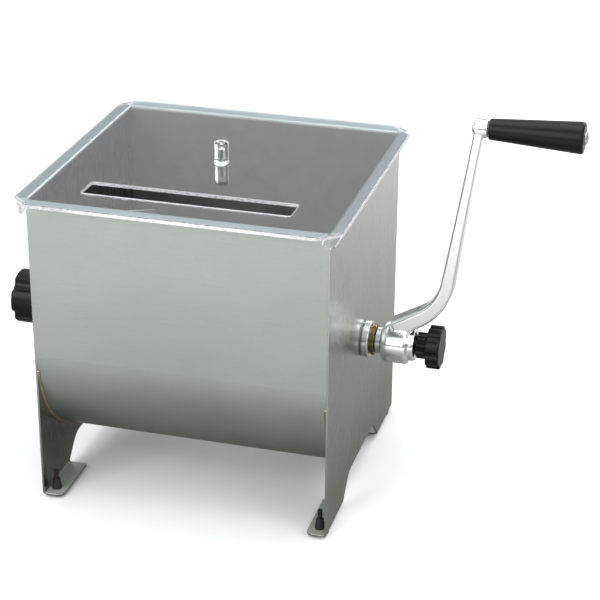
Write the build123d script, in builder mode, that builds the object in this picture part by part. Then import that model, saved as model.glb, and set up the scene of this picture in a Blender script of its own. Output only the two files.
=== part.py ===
from build123d import *
import os
from math import asin, cos, radians, sin, sqrt

os.makedirs("parts", exist_ok=True)

# Hand-crank meat mixer. Millimetres. +X runs along the crank axis towards the crank, -Y is the front,
# +Z is up and the floor is Z = 0. The frame's origin is under the middle of the whole machine.

# ---------------------------------------------------------------- driving dimensions
tub_x = -53.0  # middle of the tub, halfway between its end plates
tub_length = 240.0  # over the outer faces of the end plates
tub_depth = 228.0  # over the outer faces of the front and back walls
rim_height = 261.0  # floor to the top of the rim flange
bottom_height = 33.5  # floor to the underside of the tub
bottom_flat = 36.0  # flat strip between the two bends that make the round bottom
axis_over_bottom = 91.0  # crank axis above the underside of the tub

sheet = 1.2  # tub wall
plate = 1.5  # end plates
rim_bend = 1.5  # inner radius of the rim's bend
side_flange = 9.0  # rim flange past an end plate's outer face
front_flange = 12.5  # rim flange past a front or back wall's outer face

foot_pad = 2.5  # rubber under each foot flange
foot_flange = 17.0  # width of a foot flange, over the plate's outer face
foot_bend = 1.5  # inner radius of the foot's bend
foot_inset_x = 8.0  # foot hole from the plate's outer face
foot_inset_y = 11.0  # foot hole from the plate's front or back edge
foot_hole_r = 2.6
foot_corner = 6.0  # rounded corner of a foot flange
foot_pad_r = 7.0
foot_bulb_r = 4.0  # rubber bulb above the flange
foot_bulb = 8.5
foot_bulb_taper = 1.0
foot_bulb_straight = 2.1  # straight foot of the bulb, below its taper
foot_tail_r = 1.9  # pull-through tail above the bulb
foot_tail = 8.0
arch_foot = 118.0  # opening between the legs, at the floor
arch_top = 84.0  # flat part of the arch before its corners are rounded
arch_height = 23.0  # floor to the arch's top
arch_corner = 18.0
arch_spring = 5.5  # floor to where the legs' inner edges start to lean
arch_flare = 2.0  # spread of the legs' inner edges below that

lid_sheet = 3.0
lid_past_side = 10.0  # lid past an end plate's outer face
lid_past_front = 13.5  # lid past a front or back wall's outer face
lid_clip = 15.0  # clipped corners
lid_break = 0.5
tab_sheet = 2.5
tab_drop = 8.0  # corner tab below the lid's underside
tab_gap = 1.0  # corner tab to the rim flanges' clipped corners
slot_length = 168.0
slot_width = 25.0
slot_from_front = 47.0  # middle of the slot from the lid's front edge
slot_corner = 2.5
tab_taper = 7.5  # narrowing of a tab on each side
tab_corner = 3.0
lid_knob_r = 5.75
lid_knob_height = 18.5
lid_knob_base = 0.6  # collar at the knob's foot, past its side
lid_knob_dome = 1.6
lid_screw_r = 2.0
lid_screw_depth = 12.0  # screw above the lid's top
lid_screw_head_r = 4.0
lid_screw_head = 1.2
lid_screw_dome = 1.4
cross_slot = (4.6, 0.8)  # length and width of the screwdriver slots

shaft_r = 7.0
running = 0.05  # radial clearance of a turning or sliding fit
end_gap = 0.2  # gap between faces that turn against each other
small_break = 0.6  # broken edges of small turned pieces
edge_break = 0.8
rim_break = 1.2
overcut = 1.0  # how far a cut reaches past what it cuts

sleeve_wall = 2.0  # bronze between the shaft and the bushing
sleeve_lip = 3.7  # sleeve's flange past its barrel
sleeve_flange = 4.4
barrel_wall = 2.0  # bushing barrel around the sleeve
bushing_lip = 4.0  # bushing's flange past its barrel
bushing_flange = 6.4
bushing_back = 1.5  # bevel on the plate side of the bushing's flange
left_flange = 3.6  # the left boss's flange against its plate
barrel_past_plate = 8.0  # bushing barrel past the plate's inner face
nut_thickness = 5.0
nut_wall = 2.5  # nut's flats past the bushing barrel
sleeve_groove = 1.4  # depth of the groove behind the sleeve's flange
collar_wall = 3.7
collar_length = 4.5

hub_wall = 9.8  # hub around the shaft
hub_length = 22.5
hub_boss_wall = 6.6
hub_boss_length = 5.7
drive_cut = 2.0  # depth of each flat on the shaft's drive end
drive_fit = 0.1
clamp_room = 2.0  # shaft's end below the hub's outer face, so the knob clamps the hub
crank_radius = 189.5  # crank axis to grip axis
crank_reach = 61.35  # hub's middle to the grip boss's middle, along X
grip_boss_r = 7.4
grip_boss_length = 11.0
hub_shoulder = 6.0  # radius of the hub's rounded inner shoulder
elbow_out = 38.0  # arm's elbow from the hub's middle, along X
elbow_up = 37.2  # and above the crank axis
elbow_bend = 45.0
arm_root = 13.9  # start of the arm's middle line above the crank axis
arm_end = 1.0  # top of the arm's middle line from the grip boss's middle, towards the tub
arm_waist = 0.42  # share of the arm's length at which its middle section lies
arm_thickness = (14.5, 9.8, 7.5)  # at the hub, at the waist and at the grip boss
arm_width = (18.5, 15.5, 14.0)
arm_corner = 2.0
grip_length = 72.5
grip_round = 2.0  # rounding of the grip's large end
grip_small_r = 8.2
grip_large_r = 12.4
grip_pin_r = 4.0
grip_pin_head_r = 5.2
grip_pin_head = 2.8
rivet_end = 1.5  # pin past the inner side of the crank's boss
washer_gap = 0.6  # grip's end to the crank's boss

clamp_neck_r = 9.0
clamp_neck = 10.3
clamp_head_r = 17.7
clamp_head = 10.8
clamp_head_spread = 2.4  # neck's flare where it meets the star
clamp_notch_r = 3.6
clamp_notch_out = 1.6  # notch centres past the star's radius
clamp_stud_r = 4.0
clamp_stud_depth = 16.0  # stud inside the shaft
stud_in_head = 0.4  # share of the star that the stud reaches into
hole_bottom = 0.3  # room at the end of a blind hole
clamp_lobes = 8

left_barrel_wall = 4.95  # threaded boss around the pin, in the plate's hole
left_boss_wall = 6.95  # and outside the plate
left_boss = 20.0  # threaded boss outside the plate
left_neck_wall = 5.95
left_neck = 18.0
left_head_r = 23.0
left_head = 23.0
left_cap_r = 12.0  # raised disc on the star's end
left_cap = 3.4
left_cap_slope = 1.6  # fall of the disc's radius over its height
left_head_spread = 4.0
left_lobes = 5
left_lobe_turn = 45.0  # first notch above the front
left_notch_r = 6.0
left_notch_out = 2.6
left_lip = 6.0  # boss's plate flange past its barrel
left_pin_r = 6.0
left_tip_r = 4.0
left_tip = 14.0  # plain tip inside the shaft
tip_room = 2.0  # shaft's bore past the tip
shaft_room = 1.0  # shaft's left end to the boss

paddle_gap = 3.8  # blade's sweep to the tub's bottom
paddle_pitch = 54.0  # from one paddle to the next along the shaft
blade_length = 48.0
blade_height = 25.0
blade_sheet = 2.5
blade_corner = 5.0
blade_angle = 30.0  # blade's slant from the shaft's line
paddle_bar = 12.0
paddle_bar_sheet = 4.0
bar_on_blade = 0.75  # share of the blade's height that its arm backs

# ---------------------------------------------------------------- derived positions
half_length = tub_length / 2
half_depth = tub_depth / 2
diagonal = sqrt(0.5)
x_right = tub_x + half_length  # outer face of the right plate
x_left = tub_x - half_length  # outer face of the left plate
flat_half = bottom_flat / 2
bottom_radius = half_depth - flat_half  # outer radius of the bends
bend_z = bottom_height + bottom_radius  # where the straight walls end
axis_z = bottom_height + axis_over_bottom
sweep_r = axis_over_bottom - sheet - paddle_gap
crank_axis = Axis((0, 0, axis_z), (1, 0, 0))
# the rim flanges' corners are clipped where (out past the side) + (out past the front) reaches this
corner_clip = lid_past_side + lid_past_front - lid_clip - (tab_sheet + tab_gap) / diagonal
sleeve_bore = shaft_r + running
sleeve_r = sleeve_bore + sleeve_wall
bushing_barrel_r = sleeve_r + barrel_wall
hub_r = shaft_r + hub_wall
hub_boss_r = shaft_r + hub_boss_wall
left_bore = left_pin_r + running
left_barrel_r = left_bore + left_barrel_wall
sides = {"left": -1, "right": 1}
ends = {"front": -1, "back": 1}


def dome_middle(radius, height):
    """Half-way point (out, up) of a dome's arc that leaves the rim and is level at its top."""
    sphere = (radius**2 + height**2) / (2 * height)
    half = asin(radius / sphere) / 2
    return sphere * sin(half), sphere * cos(half) - sphere + height


# planes with X pointing diagonally out of the rim's corners, just under the rim flanges
clip_reach = sqrt(2) * (side_flange + front_flange - corner_clip)
clip_planes = [
    Plane(
        origin=(
            tub_x + side * (half_length + corner_clip / 2),
            end * (half_depth + corner_clip / 2),
            rim_height - rim_bend - plate,
        ),
        x_dir=(side * diagonal, end * diagonal, 0),
        z_dir=(0, 0, 1),
    )
    for side in sides.values()
    for end in ends.values()
]


# ---------------------------------------------------------------- tub shell
shell_out = half_depth + front_flange
rim_turn = half_depth + rim_bend
rim_low = rim_height - sheet
rim_centre = rim_low - rim_bend
with BuildPart() as tub_shell:
    with BuildSketch(Plane.YZ.offset(x_left + plate)):
        with BuildLine():
            r_in = bottom_radius - sheet
            r_lip = rim_bend + sheet
            wall_in = half_depth - sheet
            Polyline((-shell_out, rim_height), (-shell_out, rim_low), (-rim_turn, rim_low))
            ThreePointArc(
                (-rim_turn, rim_low),
                (-rim_turn + rim_bend * diagonal, rim_centre + rim_bend * diagonal),
                (-half_depth, rim_centre),
            )
            Line((-half_depth, rim_centre), (-half_depth, bend_z))
            ThreePointArc(
                (-half_depth, bend_z),
                (-flat_half - bottom_radius * diagonal, bend_z - bottom_radius * diagonal),
                (-flat_half, bottom_height),
            )
            Line((-flat_half, bottom_height), (flat_half, bottom_height))
            ThreePointArc(
                (flat_half, bottom_height),
                (flat_half + bottom_radius * diagonal, bend_z - bottom_radius * diagonal),
                (half_depth, bend_z),
            )
            Line((half_depth, bend_z), (half_depth, rim_centre))
            ThreePointArc(
                (half_depth, rim_centre),
                (rim_turn - rim_bend * diagonal, rim_centre + rim_bend * diagonal),
                (rim_turn, rim_low),
            )
            Polyline(
                (rim_turn, rim_low), (shell_out, rim_low), (shell_out, rim_height), (rim_turn, rim_height)
            )
            ThreePointArc(
                (rim_turn, rim_height),
                (rim_turn - r_lip * diagonal, rim_centre + r_lip * diagonal),
                (wall_in, rim_centre),
            )
            Line((wall_in, rim_centre), (wall_in, bend_z))
            ThreePointArc(
                (wall_in, bend_z),
                (flat_half + r_in * diagonal, bend_z - r_in * diagonal),
                (flat_half, bottom_height + sheet),
            )
            Line((flat_half, bottom_height + sheet), (-flat_half, bottom_height + sheet))
            ThreePointArc(
                (-flat_half, bottom_height + sheet),
                (-flat_half - r_in * diagonal, bend_z - r_in * diagonal),
                (-wall_in, bend_z),
            )
            Line((-wall_in, bend_z), (-wall_in, rim_centre))
            ThreePointArc(
                (-wall_in, rim_centre),
                (-rim_turn + r_lip * diagonal, rim_centre + r_lip * diagonal),
                (-rim_turn, rim_height),
            )
            Line((-rim_turn, rim_height), (-shell_out, rim_height))
        make_face()
    extrude(amount=tub_length - 2 * plate)
    with BuildSketch(*clip_planes):
        with Locations((clip_reach / 2, 0)):
            Rectangle(clip_reach, 2 * clip_reach)
    extrude(amount=rim_bend + 2 * plate, mode=Mode.SUBTRACT)
tub_shell.part.label = "tub_shell"
export_step(tub_shell.part, "parts/tub_shell.step")


# ---------------------------------------------------------------- end plates
def plate_x(side, inward):
    """X of a point that lies inward of the outer face of the plate on this side."""
    return tub_x + side * (half_length - inward)


def end_plate_solid(side, hole_r):
    """One bent end plate: foot flanges inwards, rim flange outwards, arch between the legs."""
    foot_out = foot_bend + plate
    foot_z = foot_pad + foot_out
    turn_z = rim_height - plate - rim_bend
    lip = rim_bend + plate
    foot_x = foot_bend + plate  # inward distance of the foot bend's centre
    with BuildPart() as body:
        with BuildSketch(Plane.XZ.offset(-half_depth)):
            with BuildLine():
                Line((plate_x(side, foot_flange), foot_pad), (plate_x(side, foot_x), foot_pad))
                ThreePointArc(
                    (plate_x(side, foot_x), foot_pad),
                    (plate_x(side, foot_x - foot_out * diagonal), foot_z - foot_out * diagonal),
                    (plate_x(side, 0), foot_z),
                )
                Line((plate_x(side, 0), foot_z), (plate_x(side, 0), turn_z))
                ThreePointArc(
                    (plate_x(side, 0), turn_z),
                    (plate_x(side, -rim_bend * (1 - diagonal)), turn_z + rim_bend * diagonal),
                    (plate_x(side, -rim_bend), rim_height - plate),
                )
                Polyline(
                    (plate_x(side, -rim_bend), rim_height - plate),
                    (plate_x(side, -side_flange), rim_height - plate),
                    (plate_x(side, -side_flange), rim_height),
                    (plate_x(side, -rim_bend), rim_height),
                )
                ThreePointArc(
                    (plate_x(side, -rim_bend), rim_height),
                    (plate_x(side, -rim_bend + lip * diagonal), turn_z + lip * diagonal),
                    (plate_x(side, plate), turn_z),
                )
                Line((plate_x(side, plate), turn_z), (plate_x(side, plate), foot_z))
                ThreePointArc(
                    (plate_x(side, plate), foot_z),
                    (plate_x(side, foot_x - foot_bend * diagonal), foot_z - foot_bend * diagonal),
                    (plate_x(side, foot_x), foot_pad + plate),
                )
                Polyline(
                    (plate_x(side, foot_x), foot_pad + plate),
                    (plate_x(side, foot_flange), foot_pad + plate),
                    (plate_x(side, foot_flange), foot_pad),
                )
            make_face()
        extrude(amount=tub_depth)
        # the arch between the legs
        with BuildSketch(Plane.YZ.offset(plate_x(side, foot_flange + overcut))) as arch:
            with BuildLine():
                Polyline(
                    (-arch_foot / 2 - arch_flare, 0),
                    (-arch_foot / 2, arch_spring),
                    (-arch_top / 2, arch_height),
                    (arch_top / 2, arch_height),
                    (arch_foot / 2, arch_spring),
                    (arch_foot / 2 + arch_flare, 0),
                    close=True,
                )
            make_face()
            fillet(arch.vertices().group_by(Axis.Y)[-1], arch_corner)
        extrude(amount=side * (foot_flange + 2 * overcut), mode=Mode.SUBTRACT)
        # rounded foot flange corners and clipped rim corners
        upright = body.edges().filter_by(Axis.Z).group_by(Axis.X)
        fillet(upright[0] if side > 0 else upright[-1], foot_corner)
        with BuildSketch(*clip_planes):
            with Locations((clip_reach / 2, 0)):
                Rectangle(clip_reach, 2 * clip_reach)
        extrude(amount=rim_bend + 2 * plate, mode=Mode.SUBTRACT)
        # the bushing's hole and the foot holes
        with BuildSketch(Plane.YZ.offset(plate_x(side, plate + overcut))):
            with Locations((0, axis_z)):
                Circle(hole_r)
        extrude(amount=side * (plate + 2 * overcut), mode=Mode.SUBTRACT)
        with BuildSketch(Plane.XY.offset(foot_pad - overcut)):
            with Locations(
                *[(plate_x(side, foot_inset_x), e * (half_depth - foot_inset_y)) for e in ends.values()]
            ):
                Circle(foot_hole_r)
        extrude(amount=plate + 2 * overcut, mode=Mode.SUBTRACT)
    return body


for side_name, side in sides.items():
    end_plate = end_plate_solid(side, bushing_barrel_r if side_name == "right" else left_barrel_r)
    end_plate.part.label = "end_plate_" + side_name
    export_step(end_plate.part, "parts/end_plate_" + side_name + ".step")

# ---------------------------------------------------------------- push-through rubber feet
for side_name, side in sides.items():
    for end_name, end in ends.items():
        foot_x = plate_x(side, foot_inset_x)
        foot_y = end * (half_depth - foot_inset_y)
        top = foot_pad + plate
        bulb_top = top + foot_bulb
        with BuildPart() as rubber_foot:
            with BuildSketch(Plane.XZ.offset(-foot_y)):
                with BuildLine():
                    Polyline(
                        (foot_x, 0),
                        (foot_x + foot_pad_r - edge_break, 0),
                        (foot_x + foot_pad_r, edge_break),
                        (foot_x + foot_pad_r, foot_pad),
                        (foot_x + foot_hole_r, foot_pad),
                        (foot_x + foot_hole_r, top),
                        (foot_x + foot_bulb_r, top),
                        (foot_x + foot_bulb_r, top + foot_bulb_straight),
                        (foot_x + foot_bulb_r - foot_bulb_taper, bulb_top),
                        (foot_x + foot_tail_r, bulb_top),
                        (foot_x + foot_tail_r, bulb_top + foot_tail),
                        (foot_x, bulb_top + foot_tail),
                        close=True,
                    )
                make_face()
            revolve(axis=Axis((foot_x, foot_y, 0), (0, 0, 1)))
        foot_name = "rubber_foot_" + end_name + "_" + side_name
        rubber_foot.part.label = foot_name
        export_step(rubber_foot.part, "parts/" + foot_name + ".step")

# ---------------------------------------------------------------- lid
lid_x = half_length + lid_past_side
lid_y = half_depth + lid_past_front
slot_y = -lid_y + slot_from_front
with BuildPart() as lid:
    with BuildSketch(Plane.XY.offset(rim_height)) as lid_outline:
        with Locations((tub_x, 0)):
            Rectangle(2 * lid_x, 2 * lid_y)
        chamfer(lid_outline.vertices(), lid_clip)
        with Locations((tub_x, slot_y)):
            RectangleRounded(slot_length, slot_width, slot_corner, mode=Mode.SUBTRACT)
        with Locations((tub_x, 0)):
            Circle(lid_screw_r, mode=Mode.SUBTRACT)
    extrude(amount=lid_sheet)
    chamfer(lid.faces().sort_by(Axis.Z)[-1].outer_wire().edges(), lid_break)
    tab_half = lid_clip * diagonal
    for side in sides.values():
        for end in ends.values():
            corner = Plane(
                origin=(tub_x + side * (lid_x - lid_clip / 2), end * (lid_y - lid_clip / 2), rim_height),
                x_dir=(-end * diagonal, side * diagonal, 0),
                z_dir=(side * diagonal, end * diagonal, 0),
            )
            with BuildSketch(corner) as tab:
                up = 1 if corner.y_dir.Z > 0 else -1
                with BuildLine():
                    Polyline(
                        (-tab_half + lid_break, up * lid_sheet / 4),
                        (tab_half - lid_break, up * lid_sheet / 4),
                        (tab_half - tab_taper, -up * tab_drop),
                        (-tab_half + tab_taper, -up * tab_drop),
                        close=True,
                    )
                make_face()
                low = sorted(tab.vertices(), key=lambda v: v.Z)[:2]
                fillet(low, tab_corner)
            extrude(amount=-tab_sheet)
lid.part.label = "lid"
export_step(lid.part, "parts/lid.step")

lid_top = rim_height + lid_sheet
knob_side = lid_top + lid_knob_height - lid_knob_dome
knob_out, knob_up = dome_middle(lid_knob_r, lid_knob_dome)
with BuildPart() as lid_knob:
    with BuildSketch(Plane.XZ) as knob_half:
        with BuildLine():
            Polyline(
                (tub_x + lid_screw_r, lid_top),
                (tub_x + lid_knob_r + lid_knob_base, lid_top),
                (tub_x + lid_knob_r + lid_knob_base, lid_top + lid_knob_base),
                (tub_x + lid_knob_r, lid_top + 3 * lid_knob_base),
                (tub_x + lid_knob_r, knob_side),
            )
            ThreePointArc(
                (tub_x + lid_knob_r, knob_side),
                (tub_x + knob_out, knob_side + knob_up),
                (tub_x, lid_top + lid_knob_height),
            )
            Polyline(
                (tub_x, lid_top + lid_knob_height),
                (tub_x, lid_top + lid_screw_depth + lid_screw_r),
                (tub_x + lid_screw_r, lid_top + lid_screw_depth),
                (tub_x + lid_screw_r, lid_top),
            )
        make_face()
    revolve(axis=Axis((tub_x, 0, 0), (0, 0, 1)))
lid_knob.part.label = "lid_knob"
export_step(lid_knob.part, "parts/lid_knob.step")

screw_tip = lid_top + lid_screw_depth - hole_bottom
screw_side = rim_height - lid_screw_head
screw_out, screw_up = dome_middle(lid_screw_head_r, lid_screw_dome)
with BuildPart() as lid_knob_screw:
    with BuildSketch(Plane.XZ):
        with BuildLine():
            Polyline(
                (tub_x, screw_tip),
                (tub_x + lid_screw_r - small_break, screw_tip),
                (tub_x + lid_screw_r, screw_tip - small_break),
                (tub_x + lid_screw_r, rim_height),
                (tub_x + lid_screw_head_r, rim_height),
                (tub_x + lid_screw_head_r, screw_side),
            )
            ThreePointArc(
                (tub_x + lid_screw_head_r, screw_side),
                (tub_x + screw_out, screw_side - screw_up),
                (tub_x, screw_side - lid_screw_dome),
            )
            Line((tub_x, screw_side - lid_screw_dome), (tub_x, screw_tip))
        make_face()
    revolve(axis=Axis((tub_x, 0, 0), (0, 0, 1)))
    with BuildSketch(Plane.XY.offset(screw_side - lid_screw_dome)):
        with Locations((tub_x, 0)):
            Rectangle(cross_slot[0], cross_slot[1])
            Rectangle(cross_slot[1], cross_slot[0])
    extrude(amount=lid_screw_dome, mode=Mode.SUBTRACT)
lid_knob_screw.part.label = "lid_knob_screw"
export_step(lid_knob_screw.part, "parts/lid_knob_screw.step")

# ---------------------------------------------------------------- right bushing, bearing and collar
plate_in_right = x_right - plate
sleeve_start = plate_in_right - barrel_past_plate
sleeve_face = x_right + bushing_flange
with BuildPart() as right_bushing:
    with BuildSketch(Plane.XZ):
        with BuildLine():
            Polyline(
                (sleeve_start, axis_z + sleeve_r),
                (sleeve_start, axis_z + bushing_barrel_r - edge_break),
                (sleeve_start + edge_break, axis_z + bushing_barrel_r),
                (x_right, axis_z + bushing_barrel_r),
                (x_right, axis_z + bushing_barrel_r + bushing_lip - bushing_back),
                (x_right + bushing_back, axis_z + bushing_barrel_r + bushing_lip),
                (sleeve_face - edge_break, axis_z + bushing_barrel_r + bushing_lip),
                (sleeve_face, axis_z + bushing_barrel_r + bushing_lip - edge_break),
                (sleeve_face, axis_z + sleeve_r),
                close=True,
            )
        make_face()
    revolve(axis=crank_axis)
right_bushing.part.label = "right_bushing"
export_step(right_bushing.part, "parts/right_bushing.step")

with BuildPart() as right_bushing_nut:
    with BuildSketch(Plane.YZ.offset(plate_in_right - nut_thickness)):
        with Locations((0, axis_z)):
            RegularPolygon(bushing_barrel_r + nut_wall, 6, major_radius=False)
            Circle(bushing_barrel_r, mode=Mode.SUBTRACT)
    extrude(amount=nut_thickness)
right_bushing_nut.part.label = "right_bushing_nut"
export_step(right_bushing_nut.part, "parts/right_bushing_nut.step")

sleeve_flange_r = sleeve_r + sleeve_lip
sleeve_end = sleeve_face + sleeve_flange
with BuildPart() as bearing_sleeve:
    with BuildSketch(Plane.XZ):
        with BuildLine():
            Polyline(
                (sleeve_start, axis_z + sleeve_bore),
                (sleeve_start, axis_z + sleeve_r),
                (sleeve_face, axis_z + sleeve_r),
                (sleeve_face, axis_z + sleeve_flange_r - sleeve_groove),
                (sleeve_face + sleeve_groove, axis_z + sleeve_flange_r - sleeve_groove),
                (sleeve_face + sleeve_groove, axis_z + sleeve_flange_r),
                (sleeve_end - small_break, axis_z + sleeve_flange_r),
                (sleeve_end, axis_z + sleeve_flange_r - small_break),
                (sleeve_end, axis_z + sleeve_bore),
                close=True,
            )
        make_face()
    revolve(axis=crank_axis)
bearing_sleeve.part.label = "bearing_sleeve"
export_step(bearing_sleeve.part, "parts/bearing_sleeve.step")

collar_start = sleeve_end + end_gap
hub_start = collar_start + collar_length
collar_r = shaft_r + collar_wall
with BuildPart() as thrust_collar:
    with BuildSketch(Plane.XZ):
        with BuildLine():
            Polyline(
                (collar_start, axis_z + shaft_r),
                (collar_start, axis_z + collar_r - small_break),
                (collar_start + small_break, axis_z + collar_r),
                (hub_start - small_break, axis_z + collar_r),
                (hub_start, axis_z + collar_r - small_break),
                (hub_start, axis_z + shaft_r),
                close=True,
            )
        make_face()
    revolve(axis=crank_axis)
thrust_collar.part.label = "thrust_collar"
export_step(thrust_collar.part, "parts/thrust_collar.step")

# ---------------------------------------------------------------- mixing shaft and paddles
hub_end = hub_start + hub_length + hub_boss_length
barrel_end_left = x_left + plate + barrel_past_plate
shaft_start = barrel_end_left + shaft_room
shaft_end = hub_end - clamp_room
with BuildPart() as mixing_shaft:
    with BuildSketch(Plane.YZ.offset(shaft_start)):
        with Locations((0, axis_z)):
            Circle(shaft_r)
    extrude(amount=shaft_end - shaft_start)
    chamfer(mixing_shaft.edges().filter_by(GeomType.CIRCLE), small_break)
    with BuildSketch(Plane.YZ.offset(shaft_start)):
        with Locations((0, axis_z)):
            Circle(left_tip_r + running)
    extrude(amount=left_tip + tip_room, mode=Mode.SUBTRACT)
    with BuildSketch(Plane.YZ.offset(shaft_end)):
        with Locations((0, axis_z)):
            Circle(clamp_stud_r + running)
    extrude(amount=-(clamp_stud_depth + tip_room), mode=Mode.SUBTRACT)
    with BuildSketch(Plane.YZ.offset(hub_start)):
        for edge in ends.values():
            with Locations((edge * (2 * shaft_r - drive_cut), axis_z)):
                Rectangle(2 * shaft_r, 3 * shaft_r)
    extrude(amount=shaft_end - hub_start, mode=Mode.SUBTRACT)
mixing_shaft.part.label = "mixing_shaft"
export_step(mixing_shaft.part, "parts/mixing_shaft.step")

for number in range(4):
    paddle_x = tub_x + (number - 1.5) * paddle_pitch
    turn = radians(90 * number)
    radial = Vector(0, sin(turn), cos(turn))
    slant = radians(blade_angle * (1 if number % 2 == 0 else -1))
    tangent = Vector(0, cos(turn), -sin(turn))
    along = Vector(1, 0, 0) * cos(slant) + tangent * sin(slant)
    seat = Plane(origin=(paddle_x, 0, axis_z), x_dir=along, z_dir=radial)
    across = seat.y_dir
    with BuildPart() as paddle_arm:
        with BuildSketch(seat.offset(shaft_r / 2)):
            with Locations((0, -paddle_bar_sheet / 2)):
                Rectangle(paddle_bar, paddle_bar_sheet)
        extrude(amount=sweep_r - blade_height * (1 - bar_on_blade) - shaft_r / 2)
        with BuildSketch(Plane.YZ.offset(paddle_x - 2 * paddle_bar)):
            with Locations((0, axis_z)):
                Circle(shaft_r)
        extrude(amount=4 * paddle_bar, mode=Mode.SUBTRACT)
    arm_name = "paddle_arm_" + str(number + 1)
    paddle_arm.part.label = arm_name
    export_step(paddle_arm.part, "parts/" + arm_name + ".step")
    with BuildPart() as paddle_blade:
        with BuildSketch(Plane(origin=seat.origin, x_dir=-along, z_dir=across)):
            with Locations((0, sweep_r - blade_height / 2)):
                RectangleRounded(blade_length, blade_height, blade_corner)
        extrude(amount=blade_sheet)
        with BuildSketch(Plane.YZ.offset(paddle_x - blade_length)):
            with Locations((0, axis_z)):
                Circle(sweep_r)
        extrude(amount=2 * blade_length, mode=Mode.INTERSECT)
    blade_name = "paddle_blade_" + str(number + 1)
    paddle_blade.part.label = blade_name
    export_step(paddle_blade.part, "parts/" + blade_name + ".step")

# ---------------------------------------------------------------- crank
hub_mid = hub_start + hub_length / 2
boss_mid = hub_mid + crank_reach
boss_start = boss_mid - grip_boss_length / 2
boss_end = boss_mid + grip_boss_length / 2
grip_z = axis_z + crank_radius
shoulder_z = axis_z + hub_r - hub_shoulder
with BuildPart() as crank_arm:
    with BuildLine(Plane.XZ) as arm_line:
        FilletPolyline(
            (hub_mid, axis_z + arm_root),
            (hub_mid + elbow_out, axis_z + elbow_up),
            (boss_mid - arm_end, grip_z),
            radius=elbow_bend,
        )
    for place, width, thickness in zip((0, arm_waist, 1), arm_width, arm_thickness):
        with BuildSketch(Plane(arm_line.line @ place, x_dir=(0, 1, 0), z_dir=arm_line.line % place)):
            RectangleRounded(width, thickness, arm_corner)
    sweep(path=arm_line.line, multisection=True)
    with BuildSketch(Plane.XZ):
        with BuildLine():
            Line((hub_start, axis_z), (hub_start, shoulder_z))
            ThreePointArc(
                (hub_start, shoulder_z),
                (hub_start + hub_shoulder * (1 - diagonal), shoulder_z + hub_shoulder * diagonal),
                (hub_start + hub_shoulder, axis_z + hub_r),
            )
            Polyline(
                (hub_start + hub_shoulder, axis_z + hub_r),
                (hub_start + hub_length - rim_break, axis_z + hub_r),
                (hub_start + hub_length, axis_z + hub_r - rim_break),
                (hub_start + hub_length, axis_z + hub_boss_r),
                (hub_end - rim_break, axis_z + hub_boss_r),
                (hub_end, axis_z + hub_boss_r - rim_break),
                (hub_end, axis_z),
                (hub_start, axis_z),
            )
        make_face()
    revolve(axis=crank_axis)
    with BuildSketch(Plane.XZ):
        with BuildLine():
            Polyline(
                (boss_start, grip_z),
                (boss_start, grip_z + grip_boss_r - rim_break),
                (boss_start + rim_break, grip_z + grip_boss_r),
                (boss_end - edge_break, grip_z + grip_boss_r),
                (boss_end, grip_z + grip_boss_r - edge_break),
                (boss_end, grip_z),
                close=True,
            )
        make_face()
    revolve(axis=Axis((0, 0, grip_z), (1, 0, 0)))
    # the drive bore with its two flats, and the grip pin's hole
    with BuildSketch(Plane.YZ.offset(hub_start)) as drive:
        with Locations((0, axis_z)):
            Circle(shaft_r + drive_fit)
            Rectangle(2 * (shaft_r - drive_cut + drive_fit), 3 * shaft_r, mode=Mode.INTERSECT)
    extrude(amount=hub_end - hub_start, mode=Mode.SUBTRACT)
    with BuildSketch(Plane.YZ.offset(boss_start - overcut)):
        with Locations((0, grip_z)):
            Circle(grip_pin_r)
    extrude(amount=grip_boss_length + 2 * overcut, mode=Mode.SUBTRACT)
crank_arm.part.label = "crank_arm"
export_step(crank_arm.part, "parts/crank_arm.step")

grip_start = boss_end + washer_gap
grip_end = grip_start + grip_length
grip_bulge = grip_round * (1 - diagonal)
with BuildPart() as grip:
    with BuildSketch(Plane.XZ):
        with BuildLine():
            Polyline(
                (grip_start, grip_z + grip_pin_r + running),
                (grip_start, grip_z + grip_small_r - edge_break),
                (grip_start + edge_break, grip_z + grip_small_r),
                (grip_end - grip_round, grip_z + grip_large_r),
            )
            ThreePointArc(
                (grip_end - grip_round, grip_z + grip_large_r),
                (grip_end - grip_bulge, grip_z + grip_large_r - grip_bulge),
                (grip_end, grip_z + grip_large_r - grip_round),
            )
            Polyline(
                (grip_end, grip_z + grip_large_r - grip_round),
                (grip_end, grip_z + grip_pin_r + running),
                (grip_start, grip_z + grip_pin_r + running),
            )
        make_face()
    revolve(axis=Axis((0, 0, grip_z), (1, 0, 0)))
grip.part.label = "grip"
export_step(grip.part, "parts/grip.step")

pin_start = boss_start - rivet_end
pin_head_start = grip_end + end_gap
head_side = pin_head_start + edge_break
head_out, head_up = dome_middle(grip_pin_head_r, grip_pin_head - edge_break)
with BuildPart() as grip_pin:
    with BuildSketch(Plane.XZ):
        with BuildLine():
            Polyline(
                (pin_start, grip_z),
                (pin_start, grip_z + grip_pin_r - edge_break),
                (pin_start + edge_break, grip_z + grip_pin_r),
                (pin_head_start, grip_z + grip_pin_r),
                (pin_head_start, grip_z + grip_pin_head_r),
                (head_side, grip_z + grip_pin_head_r),
            )
            ThreePointArc(
                (head_side, grip_z + grip_pin_head_r),
                (head_side + head_up, grip_z + head_out),
                (pin_head_start + grip_pin_head, grip_z),
            )
            Line((pin_head_start + grip_pin_head, grip_z), (pin_start, grip_z))
        make_face()
    revolve(axis=Axis((0, 0, grip_z), (1, 0, 0)))
grip_pin.part.label = "grip_pin"
export_step(grip_pin.part, "parts/grip_pin.step")

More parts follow.
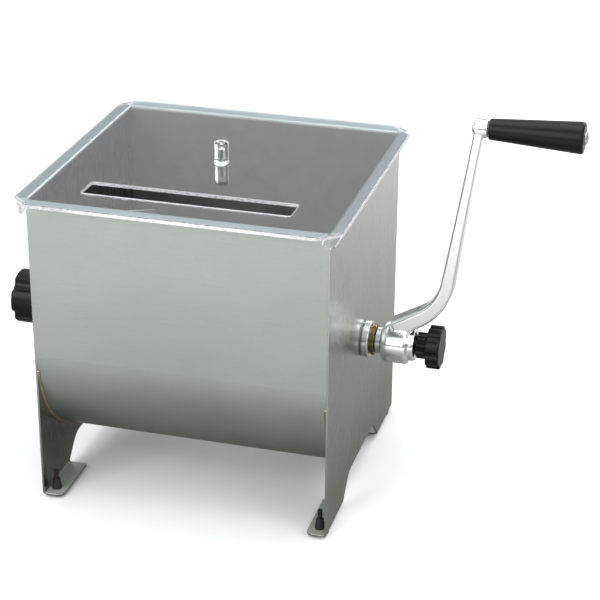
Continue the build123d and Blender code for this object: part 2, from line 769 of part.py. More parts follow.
# ---------------------------------------------------------------- crank clamp knob and its stud
knob_start = hub_end + end_gap
knob_face = knob_start + clamp_neck
stud_end = knob_face + clamp_head * stud_in_head
with BuildPart() as clamp_knob:
    with BuildSketch(Plane.YZ.offset(knob_face)):
        with Locations((0, axis_z)):
            Circle(clamp_head_r)
            with PolarLocations(clamp_head_r + clamp_notch_out, clamp_lobes):
                Circle(clamp_notch_r, mode=Mode.SUBTRACT)
    extrude(amount=clamp_head)
    with BuildSketch(Plane.XZ):
        with BuildLine():
            Polyline(
                (knob_start, axis_z),
                (knob_start, axis_z + clamp_neck_r - edge_break),
                (knob_start + edge_break, axis_z + clamp_neck_r),
                (knob_face - clamp_head_spread, axis_z + clamp_neck_r + small_break),
                (knob_face, axis_z + clamp_neck_r + clamp_head_spread),
                (knob_face, axis_z),
                close=True,
            )
        make_face()
    revolve(axis=crank_axis)
    with BuildSketch(Plane.YZ.offset(knob_start)):
        with Locations((0, axis_z)):
            Circle(clamp_stud_r + running)
    extrude(amount=stud_end + hole_bottom - knob_start, mode=Mode.SUBTRACT)
    chamfer(clamp_knob.edges().group_by(Axis.X)[-1], edge_break)
clamp_knob.part.label = "clamp_knob"
export_step(clamp_knob.part, "parts/clamp_knob.step")

with BuildPart() as clamp_stud:
    with BuildSketch(Plane.YZ.offset(shaft_end - clamp_stud_depth)):
        with Locations((0, axis_z)):
            Circle(clamp_stud_r)
    extrude(amount=stud_end - shaft_end + clamp_stud_depth)
    chamfer(clamp_stud.edges().filter_by(GeomType.CIRCLE), small_break)
clamp_stud.part.label = "clamp_stud"
export_step(clamp_stud.part, "parts/clamp_stud.step")

# ---------------------------------------------------------------- left boss, knob and support pin
boss_face = x_left - left_boss
left_boss_r = left_bore + left_boss_wall
left_neck_r = left_bore + left_neck_wall
with BuildPart() as left_bushing:
    with BuildSketch(Plane.XZ):
        with BuildLine():
            Polyline(
                (boss_face, axis_z + left_bore),
                (boss_face, axis_z + left_boss_r - edge_break),
                (boss_face + edge_break, axis_z + left_boss_r),
                (x_left - left_flange, axis_z + left_boss_r),
                (x_left - left_flange, axis_z + left_barrel_r + left_lip),
                (x_left, axis_z + left_barrel_r + left_lip),
                (x_left, axis_z + left_barrel_r),
                (barrel_end_left - edge_break, axis_z + left_barrel_r),
                (barrel_end_left, axis_z + left_barrel_r - edge_break),
                (barrel_end_left, axis_z + left_bore),
                close=True,
            )
        make_face()
    revolve(axis=crank_axis)
left_bushing.part.label = "left_bushing"
export_step(left_bushing.part, "parts/left_bushing.step")

with BuildPart() as left_bushing_nut:
    with BuildSketch(Plane.YZ.offset(x_left + plate)):
        with Locations((0, axis_z)):
            RegularPolygon(left_barrel_r + nut_wall, 6, major_radius=False)
            Circle(left_barrel_r, mode=Mode.SUBTRACT)
    extrude(amount=nut_thickness)
left_bushing_nut.part.label = "left_bushing_nut"
export_step(left_bushing_nut.part, "parts/left_bushing_nut.step")

left_knob_start = boss_face - end_gap
left_knob_face = left_knob_start - left_neck
left_pin_head = left_knob_face - left_head / 2
left_knob_end = left_knob_face - left_head
with BuildPart() as left_knob:
    with BuildSketch(Plane.YZ.offset(left_knob_face)):
        with Locations((0, axis_z)):
            Circle(left_head_r)
            with PolarLocations(left_head_r + left_notch_out, left_lobes, start_angle=180 - left_lobe_turn):
                Circle(left_notch_r, mode=Mode.SUBTRACT)
    extrude(amount=-left_head)
    with BuildSketch(Plane.XZ):
        with BuildLine():
            Polyline(
                (left_knob_start, axis_z),
                (left_knob_start, axis_z + left_neck_r - edge_break),
                (left_knob_start - edge_break, axis_z + left_neck_r),
                (left_knob_face + left_head_spread, axis_z + left_neck_r + edge_break),
                (left_knob_face, axis_z + left_neck_r + left_head_spread),
                (left_knob_face, axis_z),
                close=True,
            )
        make_face()
    revolve(axis=crank_axis)
    with BuildSketch(Plane.YZ.offset(left_knob_start)):
        with Locations((0, axis_z)):
            Circle(left_bore)
    extrude(amount=left_pin_head - hole_bottom - left_knob_start, mode=Mode.SUBTRACT)
    chamfer(left_knob.edges().group_by(Axis.X)[0], rim_break)
    with BuildSketch(Plane.XZ):
        with BuildLine():
            Polyline(
                (left_knob_end, axis_z),
                (left_knob_end, axis_z + left_cap_r),
                (left_knob_end - left_cap + edge_break, axis_z + left_cap_r - left_cap_slope),
                (left_knob_end - left_cap, axis_z + left_cap_r - left_cap_slope - edge_break),
                (left_knob_end - left_cap, axis_z),
                close=True,
            )
        make_face()
    revolve(axis=crank_axis)
left_knob.part.label = "left_knob"
export_step(left_knob.part, "parts/left_knob.step")

with BuildPart() as left_pin:
    with BuildSketch(Plane.XZ):
        with BuildLine():
            Polyline(
                (left_pin_head, axis_z),
                (left_pin_head, axis_z + left_pin_r - edge_break),
                (left_pin_head + edge_break, axis_z + left_pin_r),
                (barrel_end_left - edge_break, axis_z + left_pin_r),
                (barrel_end_left, axis_z + left_pin_r - edge_break),
                (barrel_end_left, axis_z + left_tip_r),
                (shaft_start + left_tip - edge_break, axis_z + left_tip_r),
                (shaft_start + left_tip, axis_z + left_tip_r - edge_break),
                (shaft_start + left_tip, axis_z),
                close=True,
            )
        make_face()
    revolve(axis=crank_axis)
left_pin.part.label = "left_pin"
export_step(left_pin.part, "parts/left_pin.step")
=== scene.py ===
from math import cos, pi, radians, sin

import bmesh
import bpy
from mathutils import Matrix, Vector, noise


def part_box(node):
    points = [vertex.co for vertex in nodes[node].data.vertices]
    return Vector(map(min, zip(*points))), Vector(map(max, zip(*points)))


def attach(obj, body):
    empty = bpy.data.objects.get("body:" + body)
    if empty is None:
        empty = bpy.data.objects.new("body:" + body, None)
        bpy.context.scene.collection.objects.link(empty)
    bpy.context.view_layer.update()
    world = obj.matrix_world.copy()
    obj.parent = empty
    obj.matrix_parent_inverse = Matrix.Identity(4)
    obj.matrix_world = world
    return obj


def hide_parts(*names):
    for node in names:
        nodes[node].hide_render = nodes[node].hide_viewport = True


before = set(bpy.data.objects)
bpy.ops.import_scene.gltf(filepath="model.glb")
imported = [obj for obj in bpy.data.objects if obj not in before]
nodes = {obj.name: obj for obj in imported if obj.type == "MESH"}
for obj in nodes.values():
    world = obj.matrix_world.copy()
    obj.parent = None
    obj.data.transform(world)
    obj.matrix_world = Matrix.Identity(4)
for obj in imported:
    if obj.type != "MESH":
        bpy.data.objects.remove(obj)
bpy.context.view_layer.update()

# Hand-crank meat mixer. Metres, in the row frame: +X along the crank axis, -Y the front, +Z up.
MM = 0.001
SAME_HEIGHT = 0.02 * MM

# the tub's outer cross-section: flat walls, two bends and a flat strip between them
FRONT_FLANGE = 12.5 * MM
BOTTOM_FLAT = 36.0 * MM
tub_low, tub_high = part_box("tub_shell")
flat_half = BOTTOM_FLAT / 2
bend = tub_high.y - FRONT_FLANGE - flat_half


def middle(node):
    low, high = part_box(node)
    return (low + high) / 2


def times(values, share):
    """Three values, all times one share or each times its own."""
    shares = share if isinstance(share, tuple) else (share,) * 3
    return tuple(value * own for value, own in zip(values, shares))


# ------------------------------------------------------------------ node helpers
def add(tree, kind, inputs=None, **settings):
    """A shader node with its settings, and its inputs given as values or linked from sockets."""
    made = tree.nodes.new("ShaderNode" + kind)
    for key, value in settings.items():
        setattr(made, key, value)
    for key, value in (inputs or {}).items():
        socket = made.inputs[key]
        if isinstance(value, bpy.types.NodeSocket):
            tree.links.new(value, socket)
        else:
            socket.default_value = value
    return made


class Finish:
    """A procedural material on one Principled shader. Texture places are object coordinates."""

    def __init__(self, name, **sockets):
        self.material = bpy.data.materials.new(name)
        self.material.use_nodes = True
        self.tree = self.material.node_tree
        self.tree.nodes.clear()
        self.shader = add(self.tree, "BsdfPrincipled")
        self.out = add(self.tree, "OutputMaterial", {"Surface": self.shader.outputs["BSDF"]})
        for key, value in sockets.items():
            self.shader.inputs[key.replace("_", " ")].default_value = value
        self.place = add(self.tree, "TexCoord").outputs["Object"]

    def node(self, kind, inputs=None, **settings):
        return add(self.tree, kind, inputs, **settings)

    def math(self, operation, a, b=0.0):
        return self.node("Math", {0: a, 1: b}, operation=operation).outputs[0]

    def moved(self, scale=(1, 1, 1), turn=(0, 0, 0), shift=(0, 0, 0)):
        inputs = {"Vector": self.place, "Scale": scale, "Rotation": turn, "Location": shift}
        return self.node("Mapping", inputs).outputs["Vector"]

    def from_point(self, point):
        """The place as measured from a point."""
        return self.moved(shift=tuple(-c for c in point))

    def parts(self, vector):
        """A vector's X, Y and Z."""
        return self.node("SeparateXYZ", {0: vector}).outputs

    def dot(self, a, b):
        return self.node("VectorMath", {0: a, 1: b}, operation="DOT_PRODUCT").outputs["Value"]

    def length(self, a, b):
        """The length of a vector in a plane, from its two parts."""
        squares = [self.math("MULTIPLY", part, part) for part in (a, b)]
        return self.math("SQRT", self.math("ADD", *squares))

    def noise(self, scale, detail=4.0, place=None, rough=0.55, distort=0.0):
        inputs = {
            "Vector": place or self.place,
            "Scale": scale,
            "Detail": detail,
            "Roughness": rough,
            "Distortion": distort,
        }
        return self.node("TexNoise", inputs).outputs["Fac"]

    def spread(self, value, low, high, to_low=0.0, to_high=1.0):
        """value's range from low to high, stretched over to_low to to_high and clamped."""
        inputs = {"Value": value, "From Min": low, "From Max": high, "To Min": to_low, "To Max": to_high}
        return self.node("MapRange", inputs).outputs["Result"]

    def mix(self, share, a, b):
        n = self.node("Mix", data_type="RGBA")
        for socket, value in zip((n.inputs[0], n.inputs[6], n.inputs[7]), (share, a, b)):
            if isinstance(value, bpy.types.NodeSocket):
                self.tree.links.new(value, socket)
            else:
                socket.default_value = value if isinstance(value, float) else (*value[:3], 1)
        return n.outputs[2]

    def edges(self, radius):
        """The softened normal at edges, and a mask that is 1 on them."""
        bevel = self.node("Bevel", {"Radius": radius}, samples=6).outputs["Normal"]
        true = self.node("NewGeometry").outputs["True Normal"]
        return bevel, self.spread(self.dot(bevel, true), 0.98, 0.75)

    def bump(self, height, strength, distance, normal=None):
        inputs = {"Height": height, "Strength": strength, "Distance": distance}
        if normal is not None:
            inputs["Normal"] = normal
        return self.node("Bump", inputs).outputs["Normal"]

    def link(self, **sockets):
        for key, value in sockets.items():
            self.tree.links.new(value, self.shader.inputs[key.replace("_", " ")])


def dress(finish, *names):
    for name in names:
        for slot in nodes[name].material_slots:
            slot.material = finish.material


# ------------------------------------------------------------------ finishes
# painted cool shade for the rim's top and painted highlight for the feet's tops
RIM_TOP_PAINTED_SHADE = (0.33, 0.38, 0.4)
FOOT_TOP_PAINTED_HIGHLIGHT = (0.5, 0.54, 0.5)
# heights that part the feet's tops from the rim's
FEET_BELOW, RIM_ABOVE = 0.15, 0.2
# depths under the tub's middle where the painted shade on the sheet starts and where it is full, and how
# ragged they are
UNDER_SHADE_START, UNDER_SHADE_FULL, UNDER_SHADE_RAGGED = -0.07, -0.115, 0.012


def brushed_sheet(name, dark, light, grain, rough, middle_of=None):
    """Rolled stainless sheet: fine grain along one way, cloudy handling marks, edges paler with wear and a
    painted highlight.

    middle_of is the middle of the tub whose inside and bottom get painted shade; None leaves them out.
    """
    f = Finish(name, Metallic=1.0)
    lines = f.noise(1.0, 6.0, f.moved(grain), 0.65)
    coarse = f.noise(1.0, 3.0, f.moved(times(grain, 0.22)), 0.5)
    cloud = f.noise(7.0, 5.0, None, 0.6, 0.4)
    marks = f.noise(38.0, 8.0, None, 0.7, 1.2)
    specks = f.noise(420.0, 3.0, None, 0.6)
    normal, edge = f.edges(0.5 * MM)
    base = f.mix(f.spread(cloud, 0.3, 0.7), dark, light)
    base = f.mix(f.spread(lines, 0.25, 0.75, 0.0, 0.2), base, times(dark, 0.6))
    base = f.mix(f.spread(marks, 0.56, 0.74, 0.0, 0.2), base, times(dark, 0.72))
    base = f.mix(f.spread(specks, 0.6, 0.72, 0.0, 0.2), base, times(dark, 0.6))
    # up-facing faces get a painted tone: a painted cool shade on the rim's top and a painted highlight on
    # the feet's tops
    outward = f.node("TexCoord").outputs["Normal"]
    facing = f.parts(outward)[2]
    ways = f.parts(f.place)
    high = f.spread(ways[2], FEET_BELOW, RIM_ABOVE)
    base = f.mix(f.spread(facing, 0.5, 0.95, 0.0, 0.85), base, f.mix(high, FOOT_TOP_PAINTED_HIGHLIGHT, RIM_TOP_PAINTED_SHADE))
    # handled and dusty feet are less mirror-like
    dust = f.math("MULTIPLY", f.spread(facing, 0.5, 0.95, 0.0, 0.75), f.math("SUBTRACT", 1.0, high))
    f.link(Metallic=f.math("SUBTRACT", 1.0, dust))
    if middle_of is not None:
        # inside the tub the sheet gets painted shade, with a painted purplish reflection in it
        away = f.from_point(middle_of)
        inside = f.spread(f.dot(away, outward), 0.0, -0.002)
        inside = f.math("MULTIPLY", inside, f.spread(facing, 0.9, 0.6))
        # but not the legs' inner faces, which lie outside the round bottom
        across = f.math("MAXIMUM", f.math("SUBTRACT", f.math("ABSOLUTE", ways[1]), flat_half), 0.0)
        down = f.math("MINIMUM", f.math("SUBTRACT", ways[2], tub_low.z + bend), 0.0)
        within = f.spread(f.length(across, down), bend - 0.5 * MM, bend + 0.5 * MM, 1.0, 0.0)
        inside = f.math("MULTIPLY", inside, within)
        # painted shade, darker, with a painted purplish reflection
        inside_shade_paint = f.mix(f.spread(marks, 0.4, 0.65), times(dark, 0.54), times(dark, (0.46, 0.43, 0.44)))
        base = f.mix(inside, base, inside_shade_paint)
        # painted shade: the bottom of the sheet is painted darker and browner
        low = f.math("ADD", f.parts(away)[2], f.spread(cloud, 0.3, 0.7, -UNDER_SHADE_RAGGED, UNDER_SHADE_RAGGED))
        brown = f.spread(low, UNDER_SHADE_START, UNDER_SHADE_FULL, 0.0, 0.3)
        base = f.mix(brown, base, times(dark, (0.55, 0.51, 0.46)))
    # edges paler: part wear, part painted highlight
    base = f.mix(f.math("MULTIPLY", edge, 0.6), base, (0.9, 0.91, 0.92))
    level = f.spread(lines, 0.2, 0.8, rough - 0.05, rough + 0.06)
    level = f.math("ADD", level, f.spread(cloud, 0.3, 0.7, -0.03, 0.05))
    level = f.math("ADD", level, f.spread(marks, 0.6, 0.8, 0.0, 0.06))
    normal = f.bump(coarse, 0.1, 0.06 * MM, f.bump(lines, 0.14, 0.03 * MM, normal))
    f.link(Base_Color=base, Roughness=level, Normal=normal)
    return f


def turned_metal(name, centre, colour, shade, rough):
    """Metal turned on a lathe about a line along X through centre: fine rings, a little wear, and edges
    paler with wear and a painted highlight.
    """
    f = Finish(name, Metallic=1.0)
    along, across, height = f.parts(f.from_point(centre))
    lathe = f.node("CombineXYZ", {0: along, 1: f.length(across, height), 2: 0.0}).outputs[0]
    ring = f.noise(1500.0, 3.0, lathe, 0.6)
    soil = f.noise(240.0, 6.0, None, 0.65, 0.6)
    normal, edge = f.edges(0.35 * MM)
    base = f.mix(f.spread(soil, 0.45, 0.75, 0.0, 0.55), colour, shade)
    base = f.mix(f.spread(ring, 0.3, 0.7, 0.0, 0.3), base, shade)
    # edges paler: part wear, part painted highlight
    base = f.mix(f.math("MULTIPLY", edge, 0.45), base, tuple(min(1, c * 1.35) for c in colour))
    level = f.spread(ring, 0.25, 0.75, rough - 0.05, rough + 0.08)
    level = f.math("ADD", level, f.spread(soil, 0.5, 0.8, 0.0, 0.15))
    f.link(Base_Color=base, Roughness=level, Normal=f.bump(ring, 0.35, 0.05 * MM, normal))
    return f


def cast_metal(name):
    """Polished aluminium casting: buffing lines, soft waviness, small pits."""
    f = Finish(name, Metallic=1.0)
    wave = f.noise(30.0, 2.0, None, 0.4)
    buff = f.noise(1.0, 5.0, f.moved((900, 900, 60)), 0.6)
    pits = f.noise(900.0, 2.0, None, 0.5)
    soil = f.noise(60.0, 6.0, None, 0.7, 0.8)
    normal, edge = f.edges(0.4 * MM)
    base = f.mix(f.spread(soil, 0.5, 0.75, 0.0, 0.45), (0.93, 0.94, 0.95), (0.74, 0.75, 0.76))
    base = f.mix(f.spread(pits, 0.68, 0.74, 0.0, 0.5), base, (0.35, 0.35, 0.36))
    level = f.math("ADD", f.spread(buff, 0.25, 0.75, 0.09, 0.17), f.spread(soil, 0.45, 0.75, 0.0, 0.1))
    height = f.math("SUBTRACT", buff, f.spread(pits, 0.66, 0.76, 0.0, 1.2))
    normal = f.bump(wave, 0.3, 0.5 * MM, f.bump(height, 0.12, 0.05 * MM, normal))
    f.link(Base_Color=base, Roughness=level, Normal=normal)
    return f


def moulded(name, colour, worn, rough, grain=1700.0, **sockets):
    """Moulded plastic or rubber: fine eroded grain, dust in it, paler rubbed edges."""
    f = Finish(name, **sockets)
    skin = f.noise(grain, 2.0, None, 0.5)
    rub = f.noise(95.0, 6.0, None, 0.7, 0.7)
    cloud = f.noise(22.0, 3.0)
    normal, edge = f.edges(0.5 * MM)
    base = f.mix(f.spread(cloud, 0.3, 0.7, 0.0, 0.5), colour, times(colour, 1.6))
    base = f.mix(f.spread(rub, 0.58, 0.8, 0.0, 0.3), base, worn)
    base = f.mix(f.math("MULTIPLY", edge, f.spread(rub, 0.3, 0.6, 0.1, 0.7)), base, worn)
    level = f.spread(skin, 0.3, 0.7, rough - 0.05, rough + 0.07)
    level = f.math("ADD", level, f.spread(rub, 0.5, 0.75, 0.0, 0.1))
    normal = f.bump(skin, 0.22, 0.05 * MM, normal)
    f.link(Base_Color=base, Roughness=level, Normal=normal)
    return f


CLEAR_TINT = (0.97, 0.985, 0.99)
# at the rim's height the lid's corner tabs end and its sheet begins
TAB_FULL, TAB_END = tub_high.z - 0.1 * MM, tub_high.z + 0.3 * MM


def clear_plastic(name, sawn):
    """Clear acrylic that lamps shine through, with hairline scratches and, if sawn, frosted edges."""
    f = Finish(name, IOR=1.47, Transmission_Weight=1.0)
    hairs = f.noise(1.0, 3.0, f.moved((30, 1500, 60), turn=(0, 0, 0.35)), 0.5)
    cross = f.noise(1.0, 3.0, f.moved((1400, 26, 60), turn=(0, 0, 0.2)), 0.5)
    haze = f.noise(13.0, 5.0, None, 0.6, 0.5)
    scratch = f.math("MAXIMUM", f.spread(hairs, 0.74, 0.8), f.spread(cross, 0.75, 0.81))
    base = f.mix(f.spread(haze, 0.35, 0.75), CLEAR_TINT, times(CLEAR_TINT, 0.97))
    level = f.math("ADD", f.spread(haze, 0.4, 0.75, 0.01, 0.035), f.math("MULTIPLY", scratch, 0.15))
    normal = f.bump(scratch, 0.05, 0.02 * MM)
    if sawn:
        facing = f.parts(f.node("TexCoord").outputs["Normal"])
        side = f.spread(f.math("ABSOLUTE", facing[2]), 0.9, 0.5)
        # the corner tabs' slanting faces stay clear
        slant = f.spread(f.math("ABSOLUTE", f.math("MULTIPLY", facing[0], facing[1])), 0.35, 0.45)
        tab = f.math("MULTIPLY", f.spread(f.parts(f.place)[2], TAB_END, TAB_FULL), slant)
        side = f.math("MULTIPLY", side, f.math("SUBTRACT", 1.0, tab))
        saw = f.noise(1.0, 4.0, f.moved((420, 420, 2600)), 0.6)
        base = f.mix(f.math("MULTIPLY", side, 0.9), base, (0.97, 0.98, 1.0))
        level = f.math("ADD", level, f.math("MULTIPLY", side, f.spread(saw, 0.3, 0.7, 0.2, 0.4)))
        clear = f.math("SUBTRACT", 1.0, f.math("MULTIPLY", side, f.spread(saw, 0.4, 0.6, 0.35, 0.85)))
        normal = f.bump(f.math("MULTIPLY", saw, side), 0.25, 0.08 * MM, normal)
        f.link(Transmission_Weight=clear)
    else:
        # a turned knob gathers light along its outline
        outline = f.spread(f.node("LayerWeight", {"Blend": 0.5}).outputs["Facing"], 0.45, 0.95)
        f.link(Transmission_Weight=f.math("SUBTRACT", 1.0, f.math("MULTIPLY", outline, 0.75)))
    f.link(Base_Color=base, Roughness=level, Normal=normal)
    lamp = f.node("LightPath").outputs["Is Shadow Ray"]
    open_way = f.node("BsdfTransparent", {"Color": (0.95, 0.96, 0.97, 1)}).outputs[0]
    both = f.node("MixShader", {0: lamp, 1: f.shader.outputs[0], 2: open_way})
    f.tree.links.new(both.outputs[0], f.out.inputs["Surface"])
    return f


def weld_metal(name):
    """Weld bead: scaled silvery metal with straw and brown heat tint beside it."""
    f = Finish(name, Metallic=1.0)
    scale = f.noise(900.0, 5.0, None, 0.65, 0.5)
    heat = f.noise(60.0, 4.0, None, 0.6, 0.8)
    base = f.mix(f.spread(heat, 0.35, 0.65), (0.36, 0.27, 0.17), (0.5, 0.47, 0.42))
    base = f.mix(f.spread(scale, 0.55, 0.75, 0.0, 0.5), base, (0.16, 0.12, 0.08))
    level = f.spread(scale, 0.3, 0.7, 0.3, 0.55)
    f.link(Base_Color=base, Roughness=level, Normal=f.bump(scale, 0.4, 0.1 * MM))
    return f


axis = middle("mixing_shaft")
tub_heart = middle("tub_shell")
shell = brushed_sheet(
    "stainless_tub", (0.425, 0.45, 0.43), (0.48, 0.505, 0.475), (26, 1500, 1500), 0.45, tub_heart
)
plates = brushed_sheet(
    "stainless_plate", (0.41, 0.435, 0.42), (0.465, 0.49, 0.47), (1500, 1500, 26), 0.27, tub_heart
)
paddles = brushed_sheet("paddle_steel", (0.56, 0.57, 0.57), (0.64, 0.65, 0.64), (40, 1300, 1300), 0.28)
steel = turned_metal("turned_steel", axis, (0.78, 0.79, 0.77), (0.42, 0.41, 0.38), 0.2)
bronze = turned_metal("bronze", axis, (0.2, 0.155, 0.075), (0.035, 0.028, 0.018), 0.18)
pin_steel = turned_metal("pin_steel", middle("grip_pin"), (0.76, 0.76, 0.75), (0.45, 0.44, 0.42), 0.18)
aluminium = cast_metal("cast_aluminium")
plastic = moulded(
    "black_plastic", (0.005, 0.005, 0.005), (0.018, 0.018, 0.017), 0.3, Specular_IOR_Level=0.18
)
rubber = moulded("rubber", (0.009, 0.009, 0.009), (0.04, 0.04, 0.038), 0.6, 900.0)
acrylic = clear_plastic("clear_plastic", sawn=True)
clear_knob = clear_plastic("clear_knob", sawn=False)
weld = weld_metal("weld_metal")

dress(shell, "tub_shell")
dress(plates, "end_plate_left", "end_plate_right")
dress(paddles, *[n for n in nodes if n.startswith("paddle")])
dress(steel, "mixing_shaft", "right_bushing", "right_bushing_nut", "thrust_collar")
dress(steel, "left_bushing", "left_bushing_nut", "left_pin", "clamp_stud")
dress(bronze, "bearing_sleeve")
dress(pin_steel, "grip_pin")
dress(aluminium, "crank_arm")
dress(plastic, "grip", "clamp_knob", "left_knob")
dress(rubber, *[n for n in nodes if n.startswith("rubber")])
dress(acrylic, "lid")
dress(clear_knob, "lid_knob", "lid_knob_screw")


# ------------------------------------------------------------------ pieces that stand for CAD nodes
def stand_in(node, body, finish):
    """A piece with its own copy of a CAD node's mesh, shown in its place."""
    mesh = nodes[node].data.copy()
    mesh.name = node + "_looks"
    piece = bpy.data.objects.new(node + "_looks", mesh)
    bpy.context.scene.collection.objects.link(piece)
    mesh.materials.clear()
    mesh.materials.append(finish.material)
    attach(piece, body)
    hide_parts(node)
    return piece


def settle(piece):
    """Makes the piece's modifiers part of its mesh."""
    ready = piece.evaluated_get(bpy.context.evaluated_depsgraph_get())
    made = bpy.data.meshes.new_from_object(ready)
    made.name = piece.data.name
    piece.modifiers.clear()
    piece.data = made


def shade_smooth(mesh):
    mesh.polygons.foreach_set("use_smooth", [True] * len(mesh.polygons))


def soften(piece, voxel, rounds):
    """Rounds a moulded or cast piece's edges and fills its inner corners, as its mould does."""
    remesh = piece.modifiers.new("remesh", "REMESH")
    remesh.mode = "VOXEL"
    remesh.voxel_size = voxel
    smooth = piece.modifiers.new("smooth", "SMOOTH")
    smooth.factor = 0.5
    smooth.iterations = rounds
    settle(piece)
    shade_smooth(piece.data)


def hold_inside(piece, node):
    """Keeps a softened piece inside its CAD node's own box."""
    low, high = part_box(node)
    for vertex in piece.data.vertices:
        vertex.co = Vector(min(max(c, a), b) for c, a, b in zip(vertex.co, low, high))


def ribs(mesh, start, end, centre, count, radius, out):
    """Adds round ribs to a mesh, along X from start to end and spaced evenly round the centre."""
    work = bmesh.new()
    work.from_mesh(mesh)
    for k in range(count):
        turn = 2 * pi * (k + 0.5) / count
        place = Vector(((start + end) / 2, centre.y + out * cos(turn), centre.z + out * sin(turn)))
        lie = Matrix.Translation(place) @ Matrix.Rotation(pi / 2, 4, "Y")
        bmesh.ops.create_cone(
            work, cap_ends=True, segments=16, radius1=radius, radius2=radius, depth=end - start, matrix=lie
        )
    work.to_mesh(mesh)
    work.free()


CLAMP_NECK_LIFT = 0.8 * MM
CLAMP_NECK = 10.3 * MM
CLAMP_RIBS = 8
CLAMP_RIB_RADIUS = 2.2 * MM
CLAMP_RIB_OUT = 8.6 * MM

# the cast crank, with fillets where the arm runs into its hub and its boss, then the moulded knobs and
# grip, each with the voxel size and the rounds of smoothing that soften it
for node, body, slot_name, finish, voxel, rounds in (
    ("crank_arm", "rotor", "cast_aluminium", aluminium, 0.65 * MM, 6),
    ("clamp_knob", "clamp_knob", "black_plastic", plastic, 0.4 * MM, 4),
    ("left_knob", "left_knob", "black_plastic", plastic, 0.6 * MM, 4),
    ("grip", "grip", "black_plastic", plastic, 0.5 * MM, 3),
):
    piece = stand_in(node, body, finish)
    if node == "clamp_knob":
        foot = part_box(node)[0].x + CLAMP_NECK_LIFT
        top = foot + CLAMP_NECK
        ribs(piece.data, foot, top, middle(node), CLAMP_RIBS, CLAMP_RIB_RADIUS, CLAMP_RIB_OUT)
    soften(piece, voxel, rounds)
    hold_inside(piece, node)

# the lid rests on the rim by a film of air, so that its underside reads as clear plastic
LID_AIR = 0.12 * MM
lid_copy = stand_in("lid", "lid", acrylic)
for vertex in lid_copy.data.vertices:
    if abs(vertex.co.z - tub_high.z) < SAME_HEIGHT:
        vertex.co.z += LID_AIR
knob_copy = stand_in("lid_knob", "lid", clear_knob)
knob_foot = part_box("lid_knob")[0].z
for vertex in knob_copy.data.vertices:
    if vertex.co.z < knob_foot + SAME_HEIGHT:
        vertex.co.z += LID_AIR / 2


# ------------------------------------------------------------------ welds under the tub
WELD_STEP = 0.6 * MM
WELD_RADIUS = 1.5 * MM
WELD_START = radians(8)
WELD_SIDES = 8
WELD_FLATNESS = 0.8
# steps from one scale to the next, how much a scale swells the bead, and how much chance does
WELD_RIPPLE, WELD_SCALE, WELD_CHANCE = 4, 0.16, 0.22
# how far the bead's line is from the sheet's face and from the plate's
WELD_OFF, WELD_ASIDE = 0.2 * MM, 0.3 * MM


def weld_bead(name, line):
    """A bead along a line of points: a tube whose rings swell and shrink as the weld's scales do."""
    along = Vector((1, 0, 0))
    work = bmesh.new()
    rings = []
    for k, point in enumerate(line):
        ahead = line[min(k + 1, len(line) - 1)] - line[max(k - 1, 0)]
        ahead.normalize()
        out = ahead.cross(along).normalized()
        scale = WELD_SCALE * sin(2 * pi * k / WELD_RIPPLE)
        swell = WELD_RADIUS * (1 + scale + WELD_CHANCE * noise.noise(point * 300))
        ring = []
        for n in range(WELD_SIDES):
            turn = 2 * pi * n / WELD_SIDES
            side = along * cos(turn) * swell + out * sin(turn) * swell * WELD_FLATNESS
            ring.append(work.verts.new(point + side))
        rings.append(ring)
    for a, b in zip(rings, rings[1:]):
        for n in range(WELD_SIDES):
            after = (n + 1) % WELD_SIDES
            work.faces.new((a[n], a[after], b[after], b[n]))
    work.faces.new(reversed(rings[0]))
    work.faces.new(rings[-1])
    bmesh.ops.recalc_face_normals(work, faces=work.faces)
    mesh = bpy.data.meshes.new(name)
    work.to_mesh(mesh)
    work.free()
    shade_smooth(mesh)
    mesh.materials.append(weld.material)
    piece = bpy.data.objects.new(name, mesh)
    bpy.context.scene.collection.objects.link(piece)
    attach(piece, "tub")


def under_tub(x):
    """Points along the tub's round bottom, off its outer face, from the front bend to the back one."""
    reach = bend + WELD_OFF
    centre_z = tub_low.z + bend
    steps = int((pi / 2 - WELD_START) * bend / WELD_STEP)
    arc = []
    for k in range(steps):
        turn = WELD_START + (pi / 2 - WELD_START) * k / steps
        arc.append((flat_half + reach * cos(turn), centre_z - reach * sin(turn)))
    steps = int(BOTTOM_FLAT / WELD_STEP)
    flat = [(flat_half - BOTTOM_FLAT * k / steps, centre_z - reach) for k in range(steps + 1)]
    line = arc + flat + [(-y, z) for y, z in reversed(arc)]
    return [Vector((x, -y, z)) for y, z in line]


weld_bead("weld_left", under_tub(tub_low.x + WELD_ASIDE))
weld_bead("weld_right", under_tub(tub_high.x - WELD_ASIDE))

# ------------------------------------------------------------------ studio
scene = bpy.context.scene
scene.view_settings.view_transform = "Standard"
scene.view_settings.look = "None"

FLOOR_HALF = 6.0
floor_mesh = bpy.data.meshes.new("studio_floor")
corners = [(x * FLOOR_HALF, y * FLOOR_HALF, 0) for x, y in ((-1, -1), (1, -1), (1, 1), (-1, 1))]
floor_mesh.from_pydata(corners, [], [(0, 1, 2, 3)])
studio_floor = bpy.data.objects.new("studio_floor", floor_mesh)
scene.collection.objects.link(studio_floor)
paper = Finish("studio_paper", Roughness=0.9)
paper_tone = paper.mix(paper.spread(paper.noise(3.0), 0.3, 0.7), (0.9, 0.9, 0.9), (0.92, 0.92, 0.92))
seen = paper.node("LightPath").outputs["Is Camera Ray"]
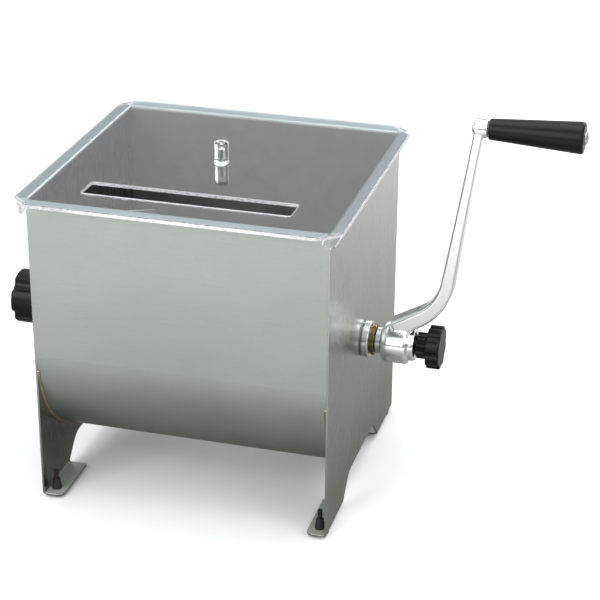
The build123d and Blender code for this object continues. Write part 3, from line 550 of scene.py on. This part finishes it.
# painted shade in what the metal sees of the floor: dark close to the machine and out to its sides, pale
# in front
out = paper.node("VectorMath", {0: paper.moved(scale=(1, 1, 0))}, operation="LENGTH").outputs["Value"]
spots = paper.parts(paper.place)
sideways = paper.spread(paper.math("DIVIDE", paper.math("ABSOLUTE", spots[0]), out), 0.6, 0.85, 1.0, 0.15)
behind = paper.spread(spots[1], 0.0, 0.45, 1.0, 0.6)
pale = paper.math("MULTIPLY", paper.math("MULTIPLY", paper.spread(out, 0.22, 0.75), sideways), behind)
bounce = paper.mix(pale, (0.27, 0.262, 0.255), (0.8, 0.8, 0.8))
paper.link(Base_Color=paper.mix(seen, bounce, paper_tone))
floor_mesh.materials.append(paper.material)

# bright overhead, darker towards the horizon, so that polished metal gets its dark outlines
world = bpy.data.worlds.new("studio")
scene.world = world
world.use_nodes = True
world.node_tree.nodes.clear()
sky = add(world.node_tree, "TexCoord").outputs["Generated"]
height = add(world.node_tree, "SeparateXYZ", {0: sky}).outputs[2]
SKY = {"Value": height, "From Min": 0.0, "From Max": 0.6, "To Min": 0.2, "To Max": 1.05}
tone = add(world.node_tree, "MapRange", SKY).outputs[0]
# the camera itself sees a plain pale backdrop
plain = add(world.node_tree, "LightPath").outputs["Is Camera Ray"]
tone = add(world.node_tree, "Math", {0: tone, 1: plain}, operation="MAXIMUM").outputs[0]
backing = add(world.node_tree, "Background", {"Color": (0.97, 0.985, 1, 1), "Strength": tone})
add(world.node_tree, "OutputWorld", {"Surface": backing.outputs[0]})


def softbox(name, place, aim, size, power):
    data = bpy.data.lights.new(name, "AREA")
    data.shape = "RECTANGLE"
    data.size, data.size_y = size
    data.energy = power
    lamp = bpy.data.objects.new(name, data)
    lamp.location = place
    lamp.rotation_euler = (Vector(aim) - Vector(place)).to_track_quat("-Z", "Y").to_euler()
    scene.collection.objects.link(lamp)


softbox("key", (-1.1, -2.3, 1.4), tub_heart, (1.8, 1.8), 42)
softbox("fill", (2.0, -0.9, 1.1), tub_heart, (1.2, 1.2), 12)
softbox("top", (0, 0.2, 2.4), tub_heart, (1.8, 1.8), 26)
softbox("back", (0.9, 2.4, 1.2), tub_heart, (1.6, 1.2), 24)

# ------------------------------------------------------------------ camera
EYE = Vector((0.3782, -1.3193, 0.7875))
TURN, TILT, ROLL = radians(15.48), radians(24.92), radians(0.39)
LENS, SENSOR = 111.1, 36
back = Vector((sin(TURN) * cos(TILT), -cos(TURN) * cos(TILT), sin(TILT)))
right = Vector((cos(TURN), sin(TURN), 0))
up = back.cross(right)
rolled_right = right * cos(ROLL) + up * sin(ROLL)
rolled_up = up * cos(ROLL) - right * sin(ROLL)
lens = bpy.data.cameras.new("camera")
lens.lens = LENS
lens.sensor_width = SENSOR
camera = bpy.data.objects.new("camera", lens)
stance = Matrix((rolled_right, rolled_up, back)).transposed().to_4x4()
camera.matrix_world = Matrix.Translation(EYE) @ stance
scene.collection.objects.link(camera)
scene.camera = camera
